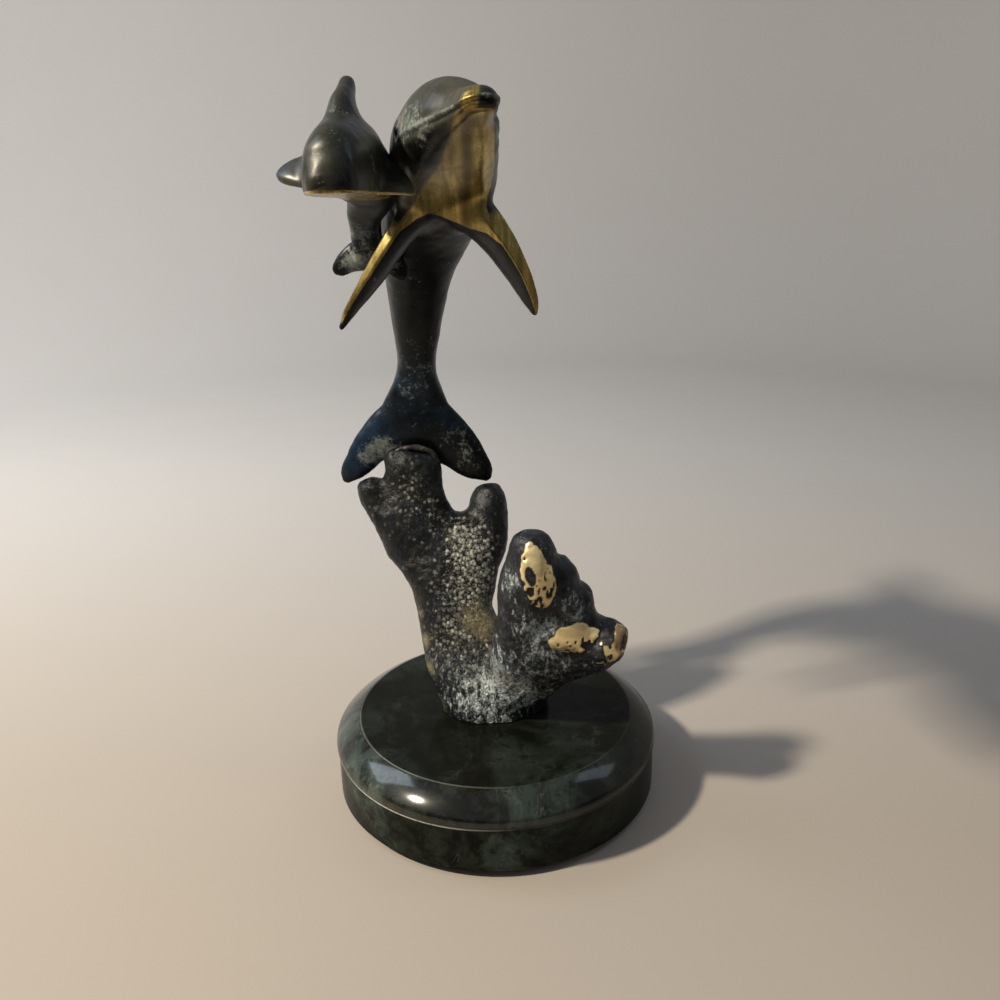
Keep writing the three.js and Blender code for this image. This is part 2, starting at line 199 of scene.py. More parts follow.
def readEdges(piece):
    flat = np.empty(len(piece.data.edges) * 2, np.int32)
    piece.data.edges.foreach_get("vertices", flat)
    return flat.reshape(-1, 2)


def toNeighbours(co, edges):  # from each point to the mean of its neighbours
    a, b = edges.T
    count = np.bincount(edges.ravel(), minlength=len(co))[:, None]
    sums = [np.bincount(a, co[b, k], len(co)) + np.bincount(b, co[a, k], len(co)) for k in range(3)]
    return np.stack(sums, -1) / count - co


def relax(co, edges, weight, times):  # each point moves towards the mean of its neighbours
    for _ in range(times):
        co = co + weight * toNeighbours(co, edges)
    return co


def fillHollows(piece, co, edges, share, times):  # a point in a hollow rises along its normal, ridges stay
    for step in range(times):
        if step % 10 == 0:
            writePoints(piece, co)
            normal = readNormals(piece)
        lift = (toNeighbours(co, edges) * normal).sum(-1)
        co = co + (share * np.maximum(lift, 0))[:, None] * normal
    return co


def nearSpots(co, spots):  # sum of round soft spots, each x, y, z, radius, strength
    total = np.zeros(len(co))
    for x, y, z, radius, strength in spots:
        total += strength * np.exp(-(((co - [x, y, z]) / radius) ** 2).sum(-1))
    return total


def castLofts(name, slot, node, grids, form):  # one skin over all the lofts, softened, its hollows filled
    piece = newPiece(name, *closedLofts(grids), slot, node)
    skin = piece.modifiers.new("skin", "REMESH")
    skin.mode = "VOXEL"
    skin.voxel_size = form["voxel"] * mm
    settle(piece)
    co, edges = readPoints(piece), readEdges(piece)
    co = relax(co, edges, *form["soften"])
    share = np.clip(nearSpots(co, form["fillets"]), 0, 1) if "fillets" in form else 1
    return piece, edges, fillHollows(piece, co, edges, 0.8 * share, form["fillTimes"])


def bodyPlace(co, form, stations=321):  # place along the spine, wide and tall of it in mm, half sizes and axes there
    u = np.linspace(0, 1, stations)
    middle, ahead, across, above = rail(form, u)
    parts = np.array_split(co, max(1, len(co) // 3000))
    near = np.concatenate([((p[:, None] - middle) ** 2).sum(-1).argmin(1) for p in parts])
    reach = co - middle[near]
    speed = np.linalg.norm(np.gradient(middle, axis=0), axis=-1) * (stations - 1)
    at = np.clip(u[near] + (reach * ahead[near]).sum(-1) / speed[near], 0, 1)
    half = spline(form["size"], at)
    wide = (reach * across[near]).sum(-1)
    tall = (reach * above[near]).sum(-1)
    return at, wide, tall, half, across[near], above[near]


def bodyShares(co, form):  # wide and tall as shares of the half sizes too, and 1 on the body, 0 on what stands off it
    u, wide, tall, half, _, above = bodyPlace(co, form)
    drop = np.where(tall < 0, half[:, 2], half[:, 1])
    a, b = wide / half[:, 0], tall / drop
    return u, wide, tall, drop, above, a, b, ease(np.hypot(a, b), 1.5, 1.25)


def paint(piece, **masks):  # each mask is a value from 0 to 1 on every point
    for name, values in masks.items():
        layer = piece.data.attributes.new(name, "FLOAT", "POINT")
        layer.data.foreach_set("value", np.clip(values, 0, 1).astype(np.float32))


def smoothShade(piece):
    piece.data.polygons.foreach_set("use_smooth", np.ones(len(piece.data.polygons), bool))


# Shader maths

class Tone:  # a shader socket that takes part in sums
    def __init__(self, tree, socket=None):
        self.tree = tree
        self.socket = socket

    def node(self, kind, settings=None, inputs=None, out=0):
        made = self.tree.nodes.new("ShaderNode" + kind)
        for key, value in (settings or {}).items():
            setattr(made, key, value)
        for key, value in (inputs or {}).items():
            if isinstance(value, Tone):
                self.tree.links.new(value.socket, made.inputs[key])
            else:
                made.inputs[key].default_value = value
        return Tone(self.tree, made.outputs[out]) if made.outputs else None

    def maths(self, operation, first, second):
        return self.node("Math", {"operation": operation}, {0: first, 1: second})

    def __add__(self, other):
        return self.maths("ADD", self, other)

    def __radd__(self, other):
        return self.maths("ADD", other, self)

    def __sub__(self, other):
        return self.maths("SUBTRACT", self, other)

    def __rsub__(self, other):
        return self.maths("SUBTRACT", other, self)

    def __mul__(self, other):
        return self.maths("MULTIPLY", self, other)

    def __rmul__(self, other):
        return self.maths("MULTIPLY", other, self)

    def rise(self, low, high):  # 0 below low, 1 above high, smooth between
        return self.node("MapRange", {"interpolation_type": "SMOOTHSTEP"},
                         {"Value": self, "From Min": low, "From Max": high})

    def bell(self, middle, width):  # 1 at the middle, falling to 0 a width away
        return self.node("Math", {"operation": "ABSOLUTE"}, {0: self - middle}).rise(width, 0)

    def larger(self, other):
        return self.maths("MAXIMUM", self, other)

    def colour(self, low, high):  # from one colour to another as this goes from 0 to 1
        return self.node("Mix", {"data_type": "RGBA"}, {0: self, 6: low, 7: high}, 2)

    def mask(self, name):
        return self.node("Attribute", {"attribute_name": name}, {}, "Fac")

    def spot(self, stretch=(1, 1, 1)):  # the point on the piece, in mm
        place = self.node("TexCoord", {}, {}, "Object")
        return self.node("VectorMath", {"operation": "MULTIPLY"},
                         {0: place, 1: [s / mm for s in stretch]})

    def cloud(self, size, detail=3.0, rough=0.55, warp=0.0):  # this is the point; patches of about that many mm
        return self.node("TexNoise", {}, {"Vector": self, "Scale": 1 / size, "Detail": detail,
                                          "Roughness": rough, "Distortion": warp}, "Fac")

    def cells(self, size, out="Distance"):  # this is the point; loose cells of about that many mm
        return self.node("TexVoronoi", {}, {"Vector": self, "Scale": 1 / size, "Randomness": 1.0}, out)

    def bump(self, distance, strength=1.0):  # this is the height, distance its full rise in mm
        return self.node("Bump", {}, {"Height": self, "Distance": distance * mm, "Strength": strength})

    def surface(self, **sockets):
        return self.node("BsdfPrincipled", {}, {k.replace("_", " "): v for k, v in sockets.items()})


def rgb(r, g, b):
    return (r, g, b, 1)


def finish(name, shader):
    material = bpy.data.materials.new(name)
    material.use_nodes = True
    material.node_tree.nodes.clear()
    start = Tone(material.node_tree)
    start.node("OutputMaterial", {}, {"Surface": shader(start)})
    return material


def dress(piece, material):
    piece.data.materials.clear()
    piece.data.materials.append(material)


# Camera, at the photograph's place

camera = {"eye": (3.1, -276.7, 196.7), "pitch": 20.206, "roll": 1.36, "lens": 36}


def makeCamera():
    pitch, roll = math.radians(camera["pitch"]), math.radians(camera["roll"])
    right = np.array([1, 0, 0])
    up = np.array([0, math.sin(pitch), math.cos(pitch)])
    back = np.cross(right, up)
    axes = [math.cos(roll) * right - math.sin(roll) * up, math.sin(roll) * right + math.cos(roll) * up, back]
    lens = bpy.data.cameras.new("photoCamera")
    lens.lens = camera["lens"]
    lens.sensor_width = 36
    lens.clip_start = 0.01
    eye = bpy.data.objects.new("photoCamera", lens)
    turn = Matrix(np.array(axes).T.tolist()).to_4x4()
    eye.matrix_world = Matrix.Translation([v * mm for v in camera["eye"]]) @ turn
    bpy.context.scene.collection.objects.link(eye)
    bpy.context.scene.camera = eye


makeCamera()


# Stage: a pale sheet that sweeps up all round, with painted shade: dim behind the camera and darker on the wall to
# the right

stage = {"flat": 620, "bend": 300, "wall": 430, "around": 128, "floor": (0.485, 0.435, 0.385),
         # near and far: the wall painted bright on the left and shaded on the right; dim: painted shade behind the
         # camera
         "near": (0.88, 0.88, 0.90), "far": (0.56, 0.555, 0.56), "dim": (0.10, 0.095, 0.09),
         "aside": (-620, 420), "upWall": (-90, 360), "behind": (-340, -110)}  # where one tone goes into the next


def revolve(profile, around):  # each profile point (radius, height) goes round the vertical axis
    turn = np.linspace(0, 2 * math.pi, around, endpoint=False)
    radius, height = np.asarray(profile, float).T
    ring = np.stack([np.cos(turn), np.sin(turn), 0 * turn], -1)
    return radius[:, None, None] * ring + height[:, None, None] * np.array([0, 0, 1.0])


def makeStage():
    bend = np.linspace(0, math.pi / 2, 24)
    profile = np.vstack([
        [[0.01, 0], [stage["flat"], 0]],
        np.stack([stage["flat"] + stage["bend"] * np.sin(bend), stage["bend"] * (1 - np.cos(bend))], -1)[1:],
        [[stage["flat"] + stage["bend"], stage["wall"]]]])
    grid = revolve(profile, stage["around"])
    mesh = bpy.data.meshes.new("floor")
    mesh.from_pydata(grid.reshape(-1, 3) * mm, [], gridFaces(len(profile), stage["around"]).tolist())
    floor = bpy.data.objects.new("floor", mesh)
    bpy.context.scene.collection.objects.link(floor)
    smoothShade(floor)

    def paper(start):
        place = start.spot()
        aside = start.node("SeparateXYZ", {}, {0: place}, "X")
        depth = start.node("SeparateXYZ", {}, {0: place}, "Y")
        # painted shade: the wall darkens to the right and the sheet behind the camera is dim
        wall = aside.rise(*stage["aside"]).colour(rgb(*stage["near"]), rgb(*stage["far"]))
        sheet = depth.rise(*stage["upWall"]).colour(rgb(*stage["floor"]), wall)
        sheet = depth.rise(*stage["behind"]).colour(rgb(*stage["dim"]), sheet)
        mottle = place.cloud(60, 4).rise(0.2, 0.9)
        fleck = place.cloud(1.2, 2).rise(0.3, 0.7)
        shade = (0.04 * mottle + 0.025 * fleck).colour(sheet, rgb(0.4, 0.37, 0.33))
        return start.surface(Base_Color=shade, Roughness=0.55 + 0.1 * mottle, Specular_IOR_Level=0.2)

    dress(floor, finish("palePaper", paper))


makeStage()


# Lights: a warm lamp front left, a cool window high on each side, a dim room

lights = {
    "lamp": {"place": (-534, -216, 646), "aim": (0, 0, 90), "size": (62, 62), "watts": 7.2, "tint": (1, 0.88, 0.70)},
    "leftWindow": {"place": (-630, 170, 690), "aim": (0, 0, 60), "size": (290, 380), "watts": 1.3,
                   "tint": (0.76, 0.87, 1)},
    "rightWindow": {"place": (540, 110, 670), "aim": (0, 0, 60), "size": (180, 300), "watts": 0.3,
                    "tint": (0.72, 0.84, 1)},
}
room = {"tint": (0.93, 0.96, 1), "level": 0.22}


def makeLights():
    for name, spec in lights.items():
        lamp = bpy.data.lights.new(name, "AREA")
        lamp.shape = "RECTANGLE"
        lamp.size, lamp.size_y = [s * mm for s in spec["size"]]
        lamp.energy = spec["watts"]
        lamp.color = spec["tint"]
        holder = bpy.data.objects.new(name, lamp)
        back = unit(np.array(spec["place"], float) - spec["aim"])
        side = unit(np.cross([0, 0, 1], back))
        turn = Matrix(np.array([side, np.cross(back, side), back]).T.tolist()).to_4x4()
        holder.matrix_world = Matrix.Translation([v * mm for v in spec["place"]]) @ turn
        bpy.context.scene.collection.objects.link(holder)
    world = bpy.data.worlds.new("dimRoom")
    world.use_nodes = True
    sky = world.node_tree.nodes["Background"]
    sky.inputs["Color"].default_value = rgb(*room["tint"])
    sky.inputs["Strength"].default_value = room["level"]
    bpy.context.scene.world = world


makeLights()
bpy.context.scene.view_settings.view_transform = "Standard"
print("camera, stage and lights set")


# Marble base and felt

marble = {"drumTop": 16.7, "chamfer": 0.8, "quirk": 0.35, "bulge": 0.5, "inset": 7.4, "roll": 3.2,
          "sweep": (-25, 44), "bore": 3.5, "recess": 11, "recessTop": 11.8, "around": 224, "sharp": 19,
          "gloss": (16.5, 18), "dark": (-10, 44),  # heights of the polish, and where painted shade darkens the stone to the right
          # the drum's top edge: painted highlight, bright on the lit left and front, faint round the flat top's edge
          "wornLeft": (8, -12), "wornFront": (10, -14), "rimWear": 0.15, "flatPolish": 0.2}
marbleTones = {
    "black": rgb(0.004, 0.005, 0.0035), "bottle": rgb(0.02, 0.025, 0.019), "green": rgb(0.04, 0.06, 0.051),
    "sage": rgb(0.095, 0.115, 0.096), "blot": rgb(0.003, 0.0032, 0.0026), "vein": rgb(0.17, 0.185, 0.16),
    # dark is painted shade, on the flat top and the right side; chalk is the painted highlight on the arris
    "dark": rgb(0.005, 0.0055, 0.003), "chalk": rgb(0.62, 0.63, 0.56),
}


def marbleProfile():  # foot, drum, quirk line, a tight roll, a slow bevel to the flat top, bore and recess, closed
    low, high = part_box("marble_base")
    foot, top = low.z / mm, high.z / mm
    drum, drumTop = high.x / mm - marble["bulge"], marble["drumTop"]
    t = np.radians(np.linspace(*marble["sweep"], 20))
    roll = marble["roll"] * np.stack([np.cos(t), np.sin(t)], -1)
    roll += [drum + marble["bulge"] - marble["roll"], drumTop - roll[0, 1]]
    inward, upward = roll[-1] - [drum - marble["inset"], top]
    lean = 2 * math.atan2(inward, -upward) - t[-1]
    t = np.linspace(t[-1], lean, 24)
    radius = math.hypot(inward, upward) / (2 * math.sin((t[-1] - t[0]) / 2))
    bevel = radius * np.stack([np.cos(t), np.sin(t)], -1)
    shoulder = np.vstack([roll[:-1], bevel + roll[-1] - bevel[0]])
    c, q = marble["chamfer"], marble["quirk"]
    bore, recess, ceiling = marble["bore"], marble["recess"], marble["recessTop"]
    edge = shoulder[-1]
    return np.vstack([
        [[bore, ceiling], [recess, ceiling], [recess, foot]],
        [[drum - c - 0.2, foot], [drum - c, foot + 0.06], [drum - 0.06, foot + c - 0.06], [drum, foot + c]],
        [[drum, foot + c + 0.3], [drum, drumTop - q - 0.3], [drum, drumTop - q - 0.1]],
        [[drum - 0.08, drumTop - q + 0.15], [drum - 0.25, drumTop - 0.06], [drum - 0.42, drumTop]],
        shoulder[1:-1],
        [edge + [0.12, -0.12], edge + [-0.05, -0.01], edge + [-0.4, 0]],
        [[bore, top], [bore, ceiling]]])


def makeMarble():
    profile = marbleProfile()
    rings, around = len(profile), marble["around"]
    grid = revolve(profile, around)
    base = newPiece("marbleBase", grid.reshape(-1, 3) * mm, gridFaces(rings, around).tolist(),
                    "marble", "marble_base")
    radius, height = profile.T
    halfLine = marble["quirk"] / 2
    # painted highlight: a pale line on the quirk at the drum's top edge
    worn = np.abs(height - marble["drumTop"] + halfLine + 0.05) < halfLine + 0.1
    worn = 1.0 * worn * (radius > radius.max() - 2)
    worn[-5:-3] = marble["rimWear"]  # painted highlight on the crisp edge of the flat top
    high = height > height.max() - 0.05
    gloss = ease(height, *marble["gloss"]) * np.where(high, marble["flatPolish"], 1)
    x, y = grid.reshape(-1, 3)[:, :2].T
    # the painted highlight on the arris fades away from the lit left and front
    handled = 0.1 + 0.9 * ease(x, *marble["wornLeft"]) * ease(y, *marble["wornFront"])
    # painted shade: darker to the right, and on the flat top
    paint(base, arris=np.repeat(worn, around) * handled, deep=ease(x, *marble["dark"]),
          flat=np.repeat(high, around), gloss=np.repeat(gloss, around))
    smoothShade(base)
    base.data.set_sharp_from_angle(angle=math.radians(marble["sharp"]))

    def stone(start):
        place, hue = start.spot(), marbleTones
        gloss, deep, flat = [start.mask(n) for n in ("gloss", "deep", "flat")]
        cloudy = place.cloud(26, 6, 0.62, 0.6)
        patch = place.cloud(8, 6, 0.66, 0.5)
        grain = place.cloud(1.5, 4, 0.7)
        crack = place.cloud(28, 4, 0.55, 1.2)
        tone = patch.rise(0.42, 0.62).colour(hue["black"], hue["bottle"])
        tone = (0.9 * cloudy.rise(0.45, 0.58)).colour(tone, hue["green"])
        cluster = 0.7 * (patch * cloudy).rise(0.26, 0.36) * grain.rise(0.36, 0.64)
        tone = cluster.colour(tone, hue["sage"])
        tone = (0.75 * place.cloud(4.5, 5, 0.66).rise(0.52, 0.64)).colour(tone, hue["blot"])
        tone = (0.4 * crack.bell(0.5, 0.007) * patch.rise(0.46, 0.6)).colour(tone, hue["vein"])
        # painted shade: the flat top and the right side go to the dark tone
        tone = (0.75 * flat).larger(0.85 * deep).colour(tone, hue["dark"])
        # painted highlight: the chalk line on the arris
        tone = (start.mask("arris") * grain.rise(0.2, 0.5)).colour(tone, hue["chalk"])
        dull = 0.06 + 0.07 * grain.rise(0.3, 0.8) + 0.05 * cloudy
        # the painted shade on the right also cuts the coat there
        coat = (0.05 + 0.87 * gloss) * (1 - 0.6 * deep)
        return start.surface(Base_Color=tone, Roughness=dull + 0.2, Specular_IOR_Level=0.06,
                             Coat_Weight=coat, Coat_Roughness=0.1, Coat_IOR=1.55,
                             Normal=(0.7 * patch + 0.3 * grain).bump(0.02, 0.3))

    dress(base, finish("greenMarble", stone))


felt = {"curl": 0.4, "around": 160, "dark": rgb(0.006, 0.018, 0.01), "pale": rgb(0.022, 0.06, 0.034)}


def makeFelt():  # a disc with both edges rounded by the curl
    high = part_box("felt_pad")[1]
    radius, thick, curl = high.x / mm, high.z / mm, felt["curl"]
    t = np.linspace(0, math.pi / 2, 6)
    profile = np.vstack([
        [[0.02, 0], [radius * 0.5, 0]],
        np.stack([radius - curl + curl * np.sin(t), curl - curl * np.cos(t)], -1),
        np.stack([radius - curl + curl * np.cos(t), thick - curl + curl * np.sin(t)], -1),
        [[radius * 0.5, thick], [0.02, thick]]])
    grid = revolve(profile, felt["around"])
    faces = gridFaces(len(profile), felt["around"]).tolist()
    pad = newPiece("feltPad", grid.reshape(-1, 3) * mm, faces, "felt", "felt_pad")
    smoothShade(pad)

    def wool(start):
        place = start.spot()
        fuzz = place.cloud(0.5, 3)
        tone = (0.6 * fuzz + 0.4 * place.cloud(7, 3)).colour(felt["dark"], felt["pale"])
        return start.surface(Base_Color=tone, Roughness=0.9, Sheen_Weight=0.3, Normal=fuzz.bump(0.15))

    dress(pad, finish("greenFelt", wool))


makeMarble()
makeFelt()
print("base turned")


# Dark patina over brass, worn to metal where it is polished

patinaTones = {
    "night": rgb(0.0055, 0.01, 0.013), "olive": rgb(0.008, 0.0115, 0.0105), "moss": rgb(0.016, 0.021, 0.019),
    "ash": rgb(0.112, 0.106, 0.078), "lead": rgb(0.056, 0.056, 0.044), "umber": rgb(0.036, 0.033, 0.024),
    "soot": rgb(0.014, 0.015, 0.016), "dust": rgb(0.22, 0.22, 0.19), "gloom": rgb(0.003, 0.0035, 0.005),
    "cool": rgb(0.014, 0.036, 0.072), "verdigris": rgb(0.15, 0.21, 0.22), "chalk": rgb(0.33, 0.36, 0.32),
    "brass": rgb(0.52, 0.405, 0.14), "bronze": rgb(0.27, 0.19, 0.052), "tarnish": rgb(0.21, 0.17, 0.055),
    "glint": rgb(0.88, 0.74, 0.44), "streak": rgb(0.1, 0.062, 0.022),
}


def patinaShader(start):
    place, hue = start.spot(), patinaTones
    polish, salt, gloom = start.mask("polish"), start.mask("salt"), start.mask("gloom")
    drift = place.cloud(17, 4, 0.6, 0.5)
    patch = place.cloud(5, 5, 0.64)
    fine = place.cloud(1.3, 4, 0.68)
    dust = place.cloud(0.6, 3, 0.65)
    # painted light: the patina goes paler grey where light falls, on the mother's head and the calf's left side
    haze = start.mask("haze") * (0.75 + 0.5 * patch)
    dark = drift.rise(0.42, 0.6).colour(hue["night"], hue["olive"])
    dark = (0.5 * patch.rise(0.5, 0.68)).colour(dark, hue["moss"])
    grey = drift.rise(0.4, 0.62).colour(hue["ash"], hue["lead"])
    grey = (0.55 * patch.rise(0.5, 0.66)).colour(grey, hue["umber"])
    dark = haze.colour(dark, grey)
    dark = (0.5 * fine.rise(0.52, 0.68)).colour(dark, hue["soot"])
    dark = (0.35 * (dust * 0.7 + patch * 0.3).rise(0.58, 0.68)).colour(dark, hue["dust"])
    # painted shade and painted dark reflections, as masked on each dolphin
    dark = gloom.colour(dark, hue["gloom"])
    # painted reflection: a blue window sheen on the marked spots
    dark = (start.mask("cool") * patch.rise(0.3, 0.6)).colour(dark, hue["cool"])
    bloom = (0.4 * fine + 0.25 * dust + 0.35 * patch + 0.2 * salt).rise(0.58, 0.74)
    pale = patch.rise(0.4, 0.62).colour(hue["verdigris"], hue["chalk"])
    stale = (0.8 * bloom).colour(dark, pale)
    streak = start.spot((1, 0.1, 0.1)).cloud(1.8, 4, 0.6)
    brass = streak.rise(0.36, 0.62).colour(hue["brass"], hue["bronze"])
    brass = (0.5 * patch.rise(0.44, 0.64)).colour(brass, hue["tarnish"])
    brass = (0.3 * dust.rise(0.55, 0.75)).colour(brass, hue["glint"])
    brass = start.mask("streak").colour(brass, hue["streak"])
    worn = (polish + 0.3 * (fine - 0.5) + 0.4 * (patch - 0.5)).rise(0.3, 0.7)
    tone = worn.colour(stale, brass)
    metal = (0.2 - 0.15 * bloom).larger(0.8 * worn)
    dull = 0.34 + 0.25 * (patch - 0.5) + 0.2 * bloom + 0.02 * haze - 0.06 * worn
    height = 0.5 * fine + 0.5 * patch + 0.35 * bloom + 0.15 * dust
    return start.surface(Base_Color=tone, Metallic=metal, Roughness=dull, Specular_IOR_Level=0.28,
                         Normal=height.bump(0.14, 0.4))


patinaFinish = finish("darkPatina", patinaShader)


def mouthGap(form, u, a, b, wide, tall):  # mm above the mouth line, measured round the body
    line = np.interp(u, [m[0] for m in form["mouth"]], [m[1] for m in form["mouth"]])
    rise = np.degrees(np.arctan2(b, np.abs(a))) - line
    return np.radians(rise) * np.hypot(wide, tall)


def eyeBead(form, u, a, b):  # a bead in a shallow ring on each cheek
    at, rise = form["eye"]
    away = np.hypot((u - at) * form["eyeScale"], (np.degrees(np.arctan2(b, np.abs(a))) - rise) * 0.2)
    return 0.5 * np.exp(-(away / 0.9) ** 2) - 0.28 * np.exp(-((away - 1.8) / 0.6) ** 2)


# The large dolphin: one casting, upright on its tail

mother = {
    "voxel": 0.435, "soften": (0.5, 8), "fillTimes": 180, "lip": (0.59, 0.63),
    "bodyGrid": (220, 96), "breastGrid": (60, 28), "flukeGrid": (120, 64), "finGrid": (80, 48),
    "waves": [(0.14, 7, 3), (0.07, 2.4, 4)],
    "belly": 3, "peak": 2, "side": [[1, 0.05, 0], [1, 0.22, 0.05]],
    "spine": [  # tail to beak
        [-23.2, 29, 79], [-22.8, 30, 89], [-22, 31, 103], [-21, 29.5, 119], [-19.5, 23.5, 134.5],
        [-16, 13.5, 148.5], [-10.6, -1.5, 160], [-8.6, -17, 167.5], [-6.4, -29.5, 172], [-3.8, -38, 174.5],
        [-1.8, -43.5, 175.9], [0.2, -48.5, 177], [1, -52, 177.6], [1.2, -53.8, 177.8]],
    "size": [  # half width, rise to the back, drop to the belly
        [13, 2.4, 2.4], [11.2, 3.8, 3.8], [6, 7.2, 7], [7.8, 10.6, 9.4], [10, 13, 11],
        [12.9, 14.4, 12], [13.8, 13.2, 12], [13.3, 12.6, 10], [11.4, 11.6, 8.4], [8.8, 8.6, 6.2],
        [6, 5, 4.4], [4.7, 3.7, 3.4], [3.9, 3, 2.7], [2.2, 1.6, 1.5]],
    "mouth": [[0.6, -8], [0.66, -16], [0.74, -18], [0.85, -16], [1, -10]],  # along the spine, degrees over the side
    "eye": (0.585, 10), "eyeScale": 170, "beakCrease": 0.775,
    "left": {
        "spine": [[-13.6, -5, 155], [-20.6, -8.4, 147], [-28.4, -9.4, 136.4], [-34.6, -10, 128.4],
                  [-38.4, -9.8, 122.6]],
        "size": [[7, 5], [5.4, 2.9], [4.6, 1.9], [3, 1.3], [1, 0.6]], "side": [0.46, 0.86, -0.2]},
    "right": {
        "spine": [[-6.4, -5, 155], [1.7, -8.8, 147.4], [8.2, -9.6, 137.8], [12.2, -9.6, 129.4], [13.6, -9.2, 125]],
        "size": [[8, 5], [7.4, 3.1], [5.6, 2], [3.4, 1.3], [1, 0.6]], "side": [-0.6, 0.78, -0.16]},
    "back": {
        "spine": [[-16.5, 20, 147.6], [-17, 30, 153.6], [-17.6, 38, 156.2], [-18.2, 44.5, 155.8],
                  [-18.5, 47, 154.8]],
        "size": [[12, 3.2], [8.6, 2.2], [5.6, 1.6], [2.8, 1.1], [0.8, 0.6]], "side": [-0.15, 0.62, -0.77]},
    "breast": {  # the ridge that runs into both fins
        "spine": [[-22, -9.8, 147.2], [-17, -10.2, 152], [-12.4, -10.2, 155.6], [-7, -10.2, 152.4],
                  [-1.4, -10.4, 150], [4, -11.2, 147]],
        "size": [[1.8], [2.6], [3], [3], [2.8], [2]], "side": [0, 1, 0]},
    "fluke": {
        "middle": [-23.4, 29, 83.4], "side": [0, -0.03, -1],
        "left": [[4.4, 0.7, 11, 3.1], [9.2, 2.3, 8.5, 2.7], [14.2, 5.7, 6.2, 2.3], [17.9, 10.2, 5.1, 1.9],
                 [21.3, 14, 3.6, 1.4], [23.4, 17.2, 1.2, 0.7]],
        "right": [[0, 0, 10.6, 3.4], [4.4, 0.7, 11.2, 3.1], [8.8, 3, 9.3, 2.7], [13.3, 6.6, 7.6, 2.3],
                  [17.2, 10.9, 6.1, 1.9], [21, 14.6, 4, 1.4], [23.2, 17.4, 1.2, 0.7]]},
    "throatCut": -0.92, "finCut": {"left": -0.92, "right": -0.72},  # shares of the half sizes, ground flat
    "throatFrom": (0.46, 0.54),
    # the polished throat: its left and right edges as height and x, its lower arch as x and height
    "throatLeft": [[146, -26], [153.5, -17.6], [159.5, -13.4], [164.4, -9], [170, -6.2], [174, -4.8], [176.4, -3.6]],
    "throatRight": [[147, 5], [149.6, 4], [151.2, 2.4], [153.5, 1.2], [156.1, 1.6], [158.8, 2.6], [163.4, 3.5],
                    [177, 3.6]],
    "throatTop": 176.1,
    "arch": [[-24, 144.6], [-20.6, 148.1], [-16.4, 151], [-13.1, 152.3], [-10.5, 151.4], [-7.3, 149.9],
             [-2.9, 148.2], [1.4, 147], [4.7, 144.4]],
    "streak": [[153, -4], [158, -3.4], [167.5, -2.7], [174, -2.2], [176, -2]],  # height and x of its middle
    "fillets": [[-17, -8, 151, 5, 1], [-1, -8, 151, 5, 1], [-9, -12, 157, 6, 1], [-2, -13, 156, 6, 1],
                [1, -10, 153, 5, 1], [-1, -4, 146, 6, 1], [1, -8, 143, 5, 1], [-16.6, 24, 150, 8, 1],
                [-30.6, 29.6, 94, 7, 1], [-15, 29.6, 94, 7, 1], [-23, 26, 90, 8, 1]],
    "neck": [[-7.5, -13.6, 155.6, 4.4, 1], [-2.5, -13.6, 155.2, 4.4, 1]],  # rubbed smooth into the breast
    "stripe": {"x": -15.2, "wide": 1.8},  # painted dark reflection: a black band up the tail stock
    # painted blue window reflections on the tail stock and fluke
    "cool": [[-42, 27, 75, 8, 1], [-36, 27, 84, 7, 0.9], [-24, 25, 98, 8, 0.7], [-12, 26, 88, 6, 0.5]],
    "salt": [[-13.3, -35, 174.2, 4.5, 1.1], [-9, -40, 172.6, 3.5, 1], [-17.4, -28, 172, 4.5, 0.9],
             [-37.6, 26, 75, 4, 1.2], [-33.4, 26, 78.4, 4, 1.3], [-21, 24, 104, 7, 0.5], [-12, 26, 80, 9, 0.35],
             [-24, 22, 94, 7, 0.45], [-20, 8, 128, 7, 0.4], [-7, 26, 72, 6, 0.5]],
}


